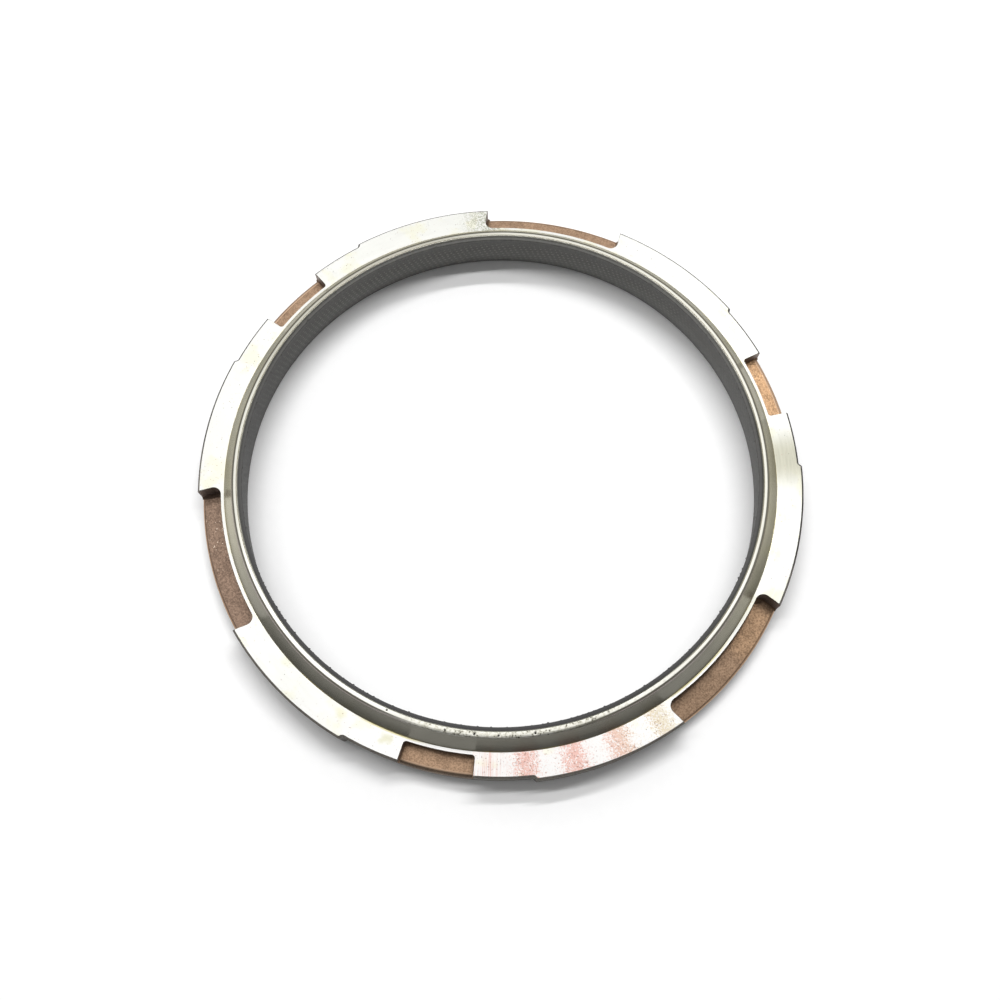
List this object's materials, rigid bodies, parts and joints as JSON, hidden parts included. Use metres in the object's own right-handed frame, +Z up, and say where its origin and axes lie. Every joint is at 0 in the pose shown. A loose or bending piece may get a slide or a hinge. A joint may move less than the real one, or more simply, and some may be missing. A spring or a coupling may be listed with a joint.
{
  "type": "synchronizer ring",
  "caption": "Steel synchronizer ring with a raised collar, lugs and drive pockets around its flange, and a conical bore lined with woven carbon fabric.",
  "frame": {"origin": "on the ring's axis at its flat seat face", "axes": "+Z up the axis from the seat face to the crest of the collar, +Y through the middle of a wide pocket"},
  "size_m": [0.15, 0.1492, 0.0136],
  "materials": {
    "steel": "ground satin faces, milled pockets with a brown coating",
    "carbon_fabric": "matte woven carbon"
  },
  "bodies": {
    "root": {"ring_body": "steel", "friction_lining": "carbon_fabric"}
  },
  "joints": []
}
